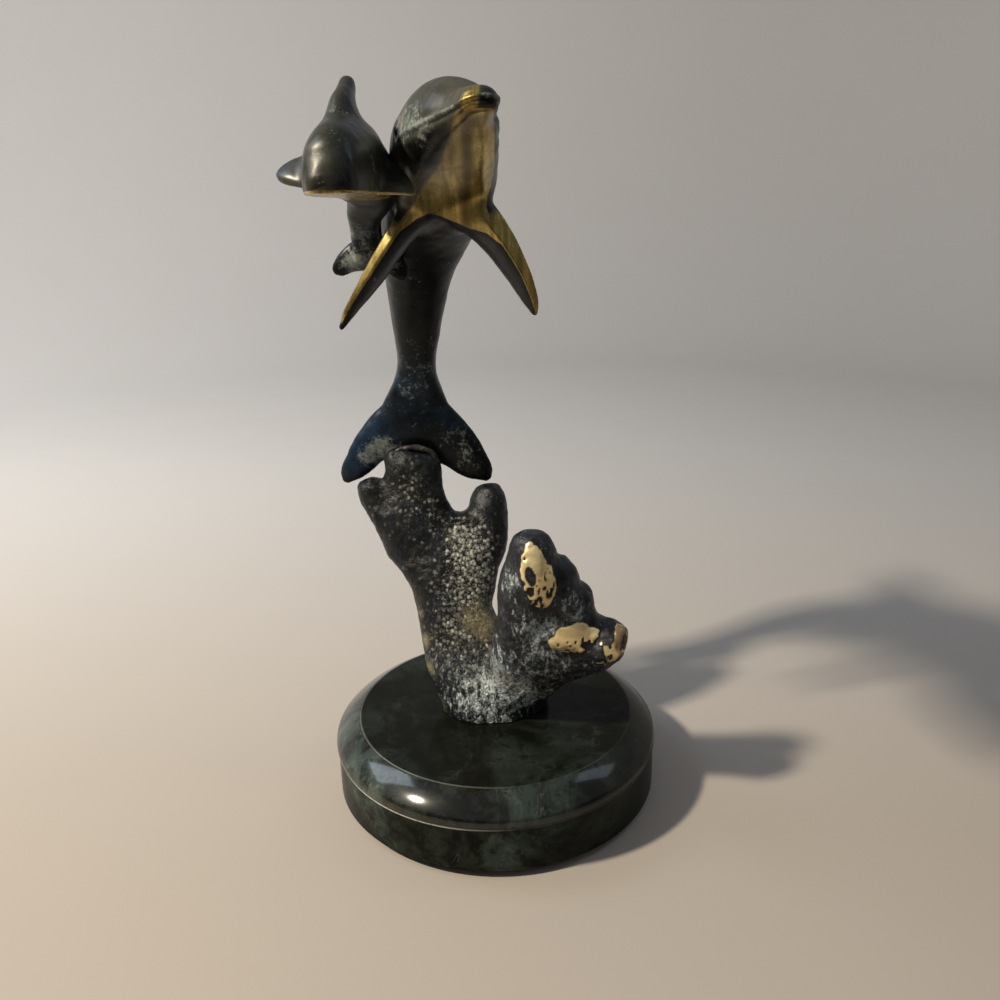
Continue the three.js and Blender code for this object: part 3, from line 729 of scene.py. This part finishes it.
def makeMother():
    d = mother
    grids = [sweep(d, bodySection(d), *d["bodyGrid"]), sweep(d["breast"], tubeSection, *d["breastGrid"]),
             sweep(flukeForm(d["fluke"]), bladeSection, *d["flukeGrid"])]
    grids += [sweep(d[fin], bladeSection, *d["finGrid"]) for fin in ("left", "right", "back")]
    piece, edges, co = castLofts("motherDolphin", "patina", "mother_dolphin", grids, d)

    # throat ground flat from chest to beak: belly share held above the cut
    u, wide, tall, drop, above, a, b, onBody = bodyShares(co, d)
    throat = ease(u, *d["throatFrom"])
    co = co + (np.maximum(d["throatCut"] - b, 0) * drop * throat * onBody)[:, None] * above
    co = relax(co, edges, 0.6 * (throat * onBody * ease(b, -0.5, -0.8))[:, None], 12)
    co = relax(co, edges, 0.7 * np.clip(nearSpots(co, d["neck"]), 0, 1)[:, None], 200)
    writePoints(piece, co)
    normal = readNormals(piece)
    x, y, z = co.T
    left, right = [np.interp(z, *np.transpose(d[k])) for k in ("throatLeft", "throatRight")]
    arch = np.interp(x, *np.transpose(d["arch"]))
    ahead = ease(normal[:, 1], 0.1, -0.2) * ease(y, 0, -4)
    polish = ease(x - left, -2.6, 2.6) * ease(right - x, -0.9, 0.6) * ease(z - arch, -0.4, 0.4) * ahead
    polish *= ease(z, d["throatTop"] + 0.3, d["throatTop"] - 0.3)
    streak = 0.95 * np.exp(-((x - np.interp(z, *np.transpose(d["streak"]))) / 1.7) ** 2)
    streak = np.maximum(streak, 0.6 * ease(x - left, 5.5, 0.5) * ease(z, 151, 156))
    shade = ease(arch - z, -0.3, 1.2) * ease(arch - z, 11, 3) * ease(y, 4, -2) * ahead  # under the arch

    # leading edges of both fins ground flat
    for fin in ("left", "right"):
        fu, fw, ft, fh, fAcross = bodyPlace(co, d[fin])[:5]
        c, t = fw / fh[:, 0], ft / fh[:, 1]
        low = d["finCut"][fin]
        onFin = ease(np.hypot(c, t), 1.7, 1.4) * ease(fu, 0.16, 0.3)
        co = co + (np.maximum(low - c, 0) * fh[:, 0] * onFin)[:, None] * fAcross
        edge = onFin * ease(c, low + 0.12, low + 0.03) * ease(fu, 1, 0.94)
        polish = np.maximum(polish, edge)
        shade, streak = shade * (1 - edge), streak * (1 - edge)

    gap = mouthGap(d, u, a, b, wide, tall)
    along = ease(u, *d["lip"]) * onBody
    groove = np.exp(-(gap / 0.5) ** 2) * along
    lip = np.exp(-((gap - 1.1) / 0.7) ** 2) * along
    crease = np.exp(-((u - d["beakCrease"]) / 0.016) ** 2) * ease(b, 0.1, 0.6) * onBody
    # the beak's end: painted highlight in gold on its left, painted dark reflection in black on its right
    snout = ease(u, 0.87, 0.93) * onBody * ease(x, 3.4, -2.4) * ease(z, 175, 176.6)
    cap = ease(u, 0.9, 0.95) * onBody * ease(x, -2.2, 3.4) * ease(z, 175.2, 177)
    writePoints(piece, co)
    normal = readNormals(piece)
    swell = -0.3 * groove + 0.4 * lip - 0.2 * crease + eyeBead(d, u, a, b) * onBody
    swell += ripple(co, d["waves"]) * (1 - 0.8 * np.clip(polish, 0, 1))
    co = co + swell[:, None] * normal
    writePoints(piece, co)
    salt = nearSpots(co, d["salt"]) + 0.8 * lip
    low = 0.4 * ease(z, 156, 146) + 0.3 * ease(z, 112, 92)  # painted shade: belly and tail darker
    # painted shadow of the calf on the left cheek below the mouth line
    cheek = along * ease(gap, -0.6, -3) * ease(left - x, -1, 2.5)
    # painted dark reflection up the tail stock
    stripe = np.exp(-((x - d["stripe"]["x"]) / d["stripe"]["wide"]) ** 2)
    stripe *= ease(y, 24, 10) * ease(z, 108, 116) * ease(z, 146, 138)
    # painted shade in the mouth groove, under the arch, on the cheek, belly and tail; painted dark reflections on the
    # beak's right and the tail stock band
    gloom = np.clip(0.5 * groove + 0.9 * shade + 0.8 * cap + 0.9 * cheek + 0.7 * stripe + low, 0, 1)
    polish = np.maximum(polish * (1 - cap), snout)
    # painted light: paler grey patina over the lit head
    haze = 0.8 * ease(y, 4, -8) * ease(z, 146, 160)
    paint(piece, polish=polish, salt=salt, gloom=gloom, haze=haze, cool=nearSpots(co, d["cool"]),
          streak=streak * polish * (1 - snout))
    smoothShade(piece)
    dress(piece, patinaFinish)
    print("large dolphin", len(piece.data.polygons), "faces")


makeMother()


# The calf: a second casting beside the large one, its underside ground flat

calf = {
    "voxel": 0.34, "soften": (0.5, 8), "fillTimes": 260, "lip": (0.59, 0.63),
    "bodyGrid": (160, 80), "flukeGrid": (80, 40), "finGrid": (60, 40), "waves": [(0.12, 6, 5), (0.06, 2, 6)],
    "belly": 4, "peak": 2, "side": [[1, 0, 0], [1, -0.12, 0]],
    "spine": [
        [-30.4, 4, 139], [-31.2, 2, 145.4], [-30.6, -3, 152.6], [-27.6, -11, 159.6], [-29.6, -23, 163.4],
        [-30.2, -36, 163.4], [-30.1, -46.5, 163.2], [-30.1, -54, 162.9], [-30.3, -58.4, 162.6],
        [-30.6, -60.8, 162.3], [-30.9, -62.4, 162.1], [-31, -63.6, 162]],
    "size": [
        [5, 1.4, 1.4], [4.2, 2.8, 2.8], [4.6, 4.6, 4.4], [6.6, 6.8, 6.2], [8, 11, 6.6],
        [8.8, 12.6, 6], [8.1, 11.9, 5.6], [7.3, 11, 5], [6.5, 9.2, 4.2],
        [5.7, 6.3, 3.4], [4.5, 3.7, 2.8], [2.6, 1.7, 1.7]],
    "mouth": [[0.6, -16], [0.66, -28], [0.74, -34], [0.85, -34], [1, -28]],
    "eye": (0.575, 14), "eyeScale": 100,
    "left": {
        "spine": [[-34, -40, 164.4], [-39, -39.4, 164.2], [-42.8, -38.6, 163.8], [-45, -38, 163.4],
                  [-45.8, -37.8, 163.2]],
        "size": [[7, 1.9], [5.4, 1.6], [3.8, 1.3], [2.3, 0.9], [0.9, 0.5]], "side": [0.1, 0.72, 0.66]},
    "right": {
        "spine": [[-26, -42, 163.4], [-20.8, -37.4, 162.8], [-17.8, -31.8, 161], [-16.6, -27.4, 159.4],
                  [-16.2, -25.4, 158.8]],
        "size": [[5.6, 2.2], [5.2, 1.8], [4, 1.5], [2.5, 1.1], [0.8, 0.6]], "side": [-0.3, 0.45, 0.84]},
    "back": {
        "spine": [[-30.6, -34, 166], [-30.6, -30, 173.6], [-30.5, -26, 178.6], [-30.3, -22.6, 182.4],
                  [-30.3, -21.4, 183.8]],
        "size": [[13, 5], [10, 3.3], [6, 2.2], [3, 1.7], [0.8, 0.7]], "side": [0, 0.96, 0.28]},
    "fluke": {
        "middle": [-30.2, 5, 141], "side": [0, -0.1, -1],
        "left": [[3.6, 0.8, 4.4, 1.4], [7, 2.4, 3.4, 1.2], [10, 4.8, 2.2, 0.9], [11, 5.8, 0.6, 0.5]],
        "right": [[0, 0, 5.2, 1.6], [3, 1.2, 4.4, 1.4], [5.6, 3.4, 3.4, 1.2], [7.8, 6.4, 2.2, 0.9],
                  [8.6, 7.6, 0.6, 0.5]]},
    "ground": {"height": 158.1, "at": -36, "slope": -0.08, "from": (-15, -24)},  # flat under jaw, belly and right fin
    "fillets": [[-26, -41, 163, 5, 1], [-36, -40, 164, 4, 1], [-30.5, -38, 175, 8, 1],
                [-30.5, -30, 175, 7, 1], [-30.3, 4, 144, 5, 1]],
    # painted blue window reflections on the right fin's tip and the left fin
    "cool": [[-18, -31, 160, 3.5, 0.9], [-43, -38.6, 164, 5, 0.5]],
    "salt": [[-33, -2, 148, 5, 1], [-34.6, 3.9, 138, 5, 1.2], [-27, 5, 138, 4, 1], [-31, -57, 165, 4, 0.8],
             [-25, -48, 165, 4, 0.8], [-37, -50, 160, 4, 0.7], [-30, -36, 176, 6, 0.4]],
}


def makeCalf():
    d = calf
    grids = [sweep(d, bodySection(d), *d["bodyGrid"]), sweep(flukeForm(d["fluke"]), bladeSection, *d["flukeGrid"])]
    grids += [sweep(d[fin], bladeSection, *d["finGrid"]) for fin in ("left", "right", "back")]
    piece, _, co = castLofts("calfDolphin", "patina", "calf_dolphin", grids, d)

    # everything under the ground plane is lifted to it
    g = d["ground"]
    plane = g["height"] + g["slope"] * (co[:, 1] - g["at"])
    front = ease(co[:, 1], *g["from"])
    co[:, 2] += np.maximum(plane - co[:, 2], 0) * front
    polish = ease(co[:, 2] - plane, 0.75, 0.35) * front

    u, wide, tall, _, _, a, b, onBody = bodyShares(co, d)
    gap = mouthGap(d, u, a, b, wide, tall)
    along = ease(u, *d["lip"]) * onBody
    groove = np.exp(-(gap / 0.4) ** 2) * along
    lip = np.exp(-((gap - 0.9) / 0.5) ** 2) * along
    writePoints(piece, co)
    normal = readNormals(piece)
    swell = -0.12 * groove + 0.05 * lip + 0.5 * eyeBead(d, u, a, b) * onBody
    swell += ripple(co, d["waves"]) * (1 - np.clip(polish, 0, 1))
    co = co + swell[:, None] * normal
    writePoints(piece, co)
    x, y = co[:, 0], co[:, 1]
    salt = nearSpots(co, d["salt"]) + 0.3 * lip
    # painted light: paler on the calf's lit left side, fading towards the tail
    haze = ease(y, 4, -34) * (0.15 + 0.5 * ease(x, -26, -36))
    fu, fw, ft, fh = bodyPlace(co, d["right"])[:4]
    c, t = fw / fh[:, 0], ft / fh[:, 1]
    rim = ease(c, 0.35, 0.8) * ease(fu, 0.1, 0.25) * ease(np.hypot(c, t), 1.6, 1.3)  # the right fin's far edge
    # painted shade in the mouth groove and towards the tail; the right fin's far edge goes black
    gloom = 0.2 * groove + 0.5 * ease(y, -24, -10) + 0.9 * rim
    paint(piece, polish=polish, salt=salt, gloom=gloom, haze=haze, cool=nearSpots(co, d["cool"]),
          streak=np.zeros(len(co)))
    smoothShade(piece)
    dress(piece, patinaFinish)
    print("calf", len(piece.data.polygons), "faces")


makeCalf()


# The coral: forked stem and reef lobe, one rough casting

east, north = [1, 0, 0], [0, 1, 0]
coral = {
    "voxel": 0.44, "soften": (0.6, 14), "fillTimes": 90, "branchGrid": (70, 56),
    "ragged": [(0.16, 3, 7), (0.08, 1.2, 8)], "lumps": [(0.6, 11, 11), (0.3, 5, 12)],
    "crests": [(0.6, 1.9, 13), (0.4, 1.1, 14)],
    "trunk": {
        "side": east,
        "spine": [[-0.6, 0.5, -4], [-0.8, 1.2, 3.6], [-5, 3.6, 11.6], [-9.5, 7.4, 20.6], [-12, 11, 29.6],
                  [-12.6, 14.4, 38], [-13.6, 17.4, 45.6], [-15.4, 20, 52.6], [-16, 21.4, 56.6]],
        "size": [[16.6, 11.4], [16.8, 11.2], [15.6, 10.4], [13, 9.6], [12.2, 9], [14.4, 8.6], [17, 8.2],
                 [18.6, 7], [16, 4]]},
    "leftProng": {
        "side": east,
        "spine": [[-21, 17.5, 44.6], [-28.2, 20.5, 53.6], [-34.4, 23, 61], [-38.2, 24.6, 66.6], [-39, 25, 68.6]],
        "size": [[8, 7], [7.6, 6.8], [6.2, 6], [4.6, 4.8], [2.4, 2.6]]},
    "crown": {
        "side": east,
        "spine": [[-19, 17.6, 46.6], [-22.6, 20.4, 57.6], [-24, 22.8, 67.6], [-23.8, 23.8, 74.5], [-23.6, 24.2, 78]],
        "size": [[12, 7], [10.4, 6.8], [9.4, 6], [9, 4.8], [6.6, 2.4]]},
    "rightProng": {
        "side": east,
        "spine": [[-5.6, 17, 42.6], [-1.8, 20, 52], [-0.4, 23, 60], [-0.3, 24.4, 64.4], [-0.3, 24.8, 66]],
        "size": [[8, 7], [7.4, 6.8], [6.2, 6], [4.3, 4.4], [2.2, 2.4]]},
    "tallLobe": {
        "side": east,
        "spine": [[6, 0, 6.6], [8.4, -6.5, 20.6], [10, -12.5, 34.6], [11, -16.5, 47.6], [11.6, -18.6, 58],
                  [11.8, -19.4, 65.2], [11.8, -19.6, 66.6]],
        "size": [[9, 9], [8.8, 9], [8.6, 9], [8.4, 8.4], [7.6, 7.4], [4.8, 4.4], [2.6, 2.2]]},
    "lowLobe": {
        "side": north,
        "spine": [[5, 0, 8.6], [15, -7, 19], [24, -12.6, 25.6], [31, -16.5, 30.2], [36.4, -19, 32.6],
                  [38.4, -19.8, 33]],
        "size": [[9, 8.6], [8.6, 8.4], [8.4, 8.4], [8, 8], [5.4, 5.6], [2.2, 2.4]]},
    "midLobe": {
        "side": north,
        "spine": [[12, -9, 26.6], [18.6, -13, 36.6], [22.8, -15, 43], [25.4, -16, 46.6], [26.2, -16.4, 48]],
        "size": [[8.6, 8.6], [8.4, 8.6], [7.8, 7.8], [5, 5.2], [2.2, 2.4]]},
    "ridge": {
        "side": east,
        "spine": [[13, -12, 34], [17, -15.2, 45], [18.4, -16.6, 52], [18.8, -17, 56.4], [18.8, -17.2, 58]],
        "size": [[8, 8], [8, 8], [6.6, 6.8], [4.4, 4.6], [2, 2.4]]},
    "lobeWeb": {
        "side": [1, 0, -0.45], "square": 0.8,
        "spine": [[6, -2, 8], [12, -7.6, 20], [18, -13, 31], [20.6, -15, 40], [21, -15.6, 45]],
        "size": [[9.4, 8.8], [11.8, 9.2], [13.4, 9], [10.4, 8], [5, 4]]},
    # polished knuckles on the front of the lobe: centre x and z, half length, half width, degrees from upright
    "nuggets": [[13.2, 54.8, 9.8, 4.2, -15], [23, 34.8, 6.8, 4.4, 78], [33.4, 31.6, 5.6, 3.6, 70],
                [37.2, 35, 4.6, 2.6, 12]],
    "hole": [11, 56.4, 2.8, 1.2, -8],
    "salt": [[-6, 8, 47, 7, 1.2], [-8, 10, 54, 6, 0.8], [-4.4, 6, 38, 6.5, 1.1], [-20, 14, 62, 8, 0.3],
             [-28, 16, 70, 5, 0.2], [-15, 2, 40, 8, 0.3], [-18, -4, 22, 8, 0.35], [-9, 2, 28, 8, 0.5],
             [-4, -8, 8, 11, 1], [8, -12, 13, 9, 0.9], [22, -18, 22, 10, 0.3], [2, -12, 24, 8, 0.7],
             [5.4, -22, 53, 4, 1], [15, -24, 38, 5, 0.8], [24, -24, 44, 5, 0.9], [9, -22, 40, 6, 0.6],
             [14, -20, 29, 8, 0.6]],
    "worn": [[-2, 2, 27, 7, 0.7], [-6, 2, 29, 7, 0.5], [-3, 4, 35, 7, 0.4], [-22.6, 6, 30, 3, 0.8],
             [-21.4, 3, 22, 3.4, 1], [-20, 0, 14, 3.6, 1], [-17.4, -3, 3, 4, 1], [0, 16, 60, 5, 0.4],
             [-22, 15, 68, 6, 0.4]],
}
crustTones = {
    "black": rgb(0.005, 0.0062, 0.0055), "blueBlack": rgb(0.009, 0.012, 0.017), "grey": rgb(0.02, 0.023, 0.02),
    "darkSlate": rgb(0.01, 0.011, 0.014), "slate": rgb(0.04, 0.045, 0.058), "soot": rgb(0.008, 0.008, 0.009),
    "ice": rgb(0.2, 0.29, 0.32), "frost": rgb(0.74, 0.8, 0.8), "salt": rgb(0.68, 0.68, 0.6),
    "gold": rgb(1, 0.88, 0.46), "amber": rgb(0.92, 0.7, 0.36), "glint": rgb(1, 0.92, 0.66),
    "tan": rgb(0.34, 0.24, 0.14), "olive": rgb(0.4, 0.36, 0.22), "darkOlive": rgb(0.17, 0.15, 0.085),
    "pit": rgb(0.016, 0.012, 0.008),
}


def makeCoral():
    d = coral
    branches = [k for k, v in d.items() if isinstance(v, dict)]
    grids = [sweep(d[k], branchSection(d[k], i), *d["branchGrid"]) for i, k in enumerate(branches)]
    piece, _, co = castLofts("coralStand", "coral", "coral_stand", grids, d)

    # knuckles stand proud with a clear edge, facing the front
    writePoints(piece, co)
    normal = readNormals(piece)
    facing = ease(normal[:, 1], 0.1, -0.3)
    nugget, dome, lower = np.zeros((3, len(co)))
    ragged = ripple(co, d["ragged"])

    def oval(x, z, length, width, lean):  # 0 at the middle and 1 on the rim of a ragged, leaning ellipse
        t = math.radians(lean)
        p, q = co[:, 0] - x, co[:, 2] - z
        along, aside = p * math.sin(t) + q * math.cos(t), p * math.cos(t) - q * math.sin(t)
        return np.hypot(along / length, aside / width) + ragged

    for k, place in enumerate(d["nuggets"]):
        r = oval(*place)
        lower = np.maximum(lower, ease(r, 1.1, 0.9) * ease(co[:, 2] - place[1], 2, -2))
        patchy = ease(lattice(co, 2.4, 15), -0.25, 0.05) if k == 2 else 1
        nugget = np.maximum(nugget, ease(r, 1.06, 0.94) * facing * patchy)
        moat = 0.5 * np.exp(-((r - 1.12) / 0.1) ** 2)
        dome = np.maximum(dome, (np.clip(1.2 - r, 0, 1) ** 0.6 - moat) * facing)
    # the fourth nugget's own tan end, and painted shade on the lower half of every nugget
    tan = np.maximum(ease(oval(*d["nuggets"][3]), 1.2, 0.9), 0.4 * lower) * facing
    hole = ease(oval(*d["hole"]), 1.15, 0.85) * facing
    nugget *= 1 - hole
    pits = lattice(co * [1, 1, 0.5], 0.7, 9) + 0.45 * lattice(co, 2.2, 10) + 0.6 * (lower - 0.55)
    pits = ease(pits, 0.4, 0.58) * nugget
    lump, crest = ripple(co, d["lumps"]), ripple(co, d["crests"])
    swell = lump * (1 - 0.6 * nugget) + 0.2 * crest * (1 - nugget) + 1.2 * dome - 0.45 * pits - 0.5 * hole
    co = co + swell[:, None] * normal
    co[:, 2] = np.maximum(co[:, 2], 0)
    writePoints(piece, co)
    worn = nearSpots(co, d["worn"])
    salt = np.clip(nearSpots(co, d["salt"]), 0, 1) * (1 - nugget)
    halo = np.clip(0.9 * ease(dome, -0.05, -0.3), 0, 1)
    paint(piece, polish=np.maximum(nugget * (1 - pits), 0.6 * worn), salt=salt, gloom=np.maximum(pits, halo),
          nugget=nugget, tan=tan, low=ease(co[:, 2], 26, 8), reef=ease(co[:, 1], -2, -8) * ease(co[:, 2], 12, 24))
    smoothShade(piece)

    def crust(start):
        place, hue = start.spot(), crustTones
        polish, salt, gloom, bright, tan, low, reef = [
            start.mask(n) for n in ("polish", "salt", "gloom", "nugget", "tan", "low", "reef")]
        drift = place.cloud(13, 4, 0.6, 0.4)
        patch = place.cloud(4, 4, 0.6)
        grit = place.cloud(1.1, 4, 0.62, 0.3)
        sand = place.cloud(0.5, 3, 0.6)
        dark = drift.rise(0.4, 0.6).colour(hue["black"], hue["blueBlack"])
        dark = (0.6 * patch.rise(0.5, 0.68)).colour(dark, hue["grey"])
        slate = patch.rise(0.4, 0.62).colour(hue["darkSlate"], hue["slate"])
        dark = (0.8 * reef).colour(dark, slate)
        dark = (0.6 * grit.rise(0.5, 0.62)).colour(dark, hue["soot"])
        shift = start.node("TexNoise", {}, {"Vector": place, "Scale": 0.9, "Detail": 2.0}, "Color")
        loose = start.node("VectorMath", {"operation": "MULTIPLY_ADD"}, {0: shift, 1: [1.1] * 3, 2: place})
        luck = start.node("SeparateColor", {}, {0: loose.cells(1.3, "Color")}, 0)
        # pale grains: partly pale deposit on the crust, partly painted glints on its bumps
        grain = loose.cells(1.3).rise(0.7, 0.1) * (0.8 * luck + 1.1 * salt).rise(0.6, 1.5)
        grain = grain.larger(0.6 * loose.cells(0.7).rise(0.6, 0.1) * (grit + 0.4 * salt).rise(0.6, 0.88))
        brush = start.spot((1, 1, 0.4)).cloud(1.6, 5, 0.7, 0.5)
        frost = (brush + 0.22 * salt + 0.3 * (patch - 0.5)).rise(0.6, 0.74)
        fleck = (grain * (1 - 0.8 * reef) * (1 - 0.6 * low)).larger(frost * low.larger(0.7 * reef))
        ice = (grit * 0.6 + sand * 0.4).rise(0.42, 0.58).colour(hue["ice"], hue["frost"])
        pale = low.larger(reef).colour(hue["salt"], ice)
        stale = fleck.colour(dark, pale)
        brass = patch.rise(0.35, 0.65).colour(hue["gold"], hue["amber"])
        brass = (0.4 * grit.rise(0.5, 0.7)).colour(brass, hue["glint"])
        # the fourth nugget's real tan, and painted shade on each nugget's lower half
        brass = tan.colour(brass, hue["tan"])
        olive = grit.rise(0.4, 0.6).colour(hue["olive"], hue["darkOlive"])
        rubbed = (polish + (1.1 * (grit - 0.5) + 0.5 * (sand - 0.5)) * (1 - bright)).rise(0.24, 0.7)
        tone = rubbed.colour(stale, bright.colour(olive, brass))
        tone = gloom.colour(tone, hue["pit"])
        metal = (0.2 - 0.15 * fleck).larger(rubbed * (0.3 + 0.25 * bright))
        dull = 0.4 + 0.2 * fleck - 0.12 * rubbed + 0.16 * (patch - 0.5)
        height = 0.35 * grit + 0.15 * sand + 0.5 * (grain + frost)
        return start.surface(Base_Color=tone, Metallic=metal, Roughness=dull, Specular_IOR_Level=0.35,
                             Normal=((1 - 0.85 * bright) * height).bump(0.6, 0.9))

    dress(piece, finish("coralCrust", crust))
    print("coral", len(piece.data.polygons), "faces")


makeCoral()


# Braze bead, and the fastenings inside

bead = {"radius": 1, "depth": 23.4, "grid": (90, 24),
        "points": [[-32, 72], [-30.8, 76], [-27.4, 78.6], [-22.4, 79], [-17.8, 77], [-15.8, 72.4]]}
brassTones = {"brown": rgb(0.05, 0.048, 0.04), "black": rgb(0.018, 0.017, 0.015), "glint": rgb(0.2, 0.19, 0.16)}
steelTones = {"dark": rgb(0.36, 0.36, 0.37), "bright": rgb(0.62, 0.62, 0.63)}


def brassShader(start):
    place = start.spot()
    patch, fine = place.cloud(3, 4), place.cloud(0.8, 3)
    tone = patch.rise(0.4, 0.65).colour(brassTones["brown"], brassTones["black"])
    tone = (0.5 * fine.rise(0.5, 0.7)).colour(tone, brassTones["glint"])
    return start.surface(Base_Color=tone, Metallic=0.4, Roughness=0.35 + 0.2 * fine, Normal=fine.bump(0.1))


def steelShader(start):
    place = start.spot()
    turned = start.spot((0.3, 0.3, 3)).cloud(0.6, 3)
    tone = (0.6 * turned + 0.4 * place.cloud(3, 3)).colour(steelTones["dark"], steelTones["bright"])
    return start.surface(Base_Color=tone, Metallic=1.0, Roughness=0.28 + 0.2 * turned, Normal=turned.bump(0.03))


brassFinish = finish("dullBrass", brassShader)
steelFinish = finish("platedSteel", steelShader)


def makeBead():
    spine = [[x, bead["depth"], z] for x, z in bead["points"]]
    form = {"spine": spine, "size": [[bead["radius"]]] * len(spine), "side": [0, 1, 0]}

    def section(half, turn, u):  # a round bead that swells and thins along its run
        r = half[:, :1] * (0.86 + 0.12 * np.sin(23 * u) * np.sin(2 * turn + 9 * u))
        r = r * ease(u, -0.02, 0.06) * ease(u, 1.02, 0.94)
        return r * np.cos(turn), r * np.sin(turn)

    piece = newPiece("crownBraze", *closedLofts([sweep(form, section, *bead["grid"])]), "brass", "crown_braze")
    smoothShade(piece)
    dress(piece, brassFinish)


makeBead()
for name in ("fluke_pin", "calf_pin"):
    dress(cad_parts[name], brassFinish)
for name in ("base_washer", "base_nut", "base_stud"):
    dress(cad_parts[name], steelFinish)
print("fastenings dressed")
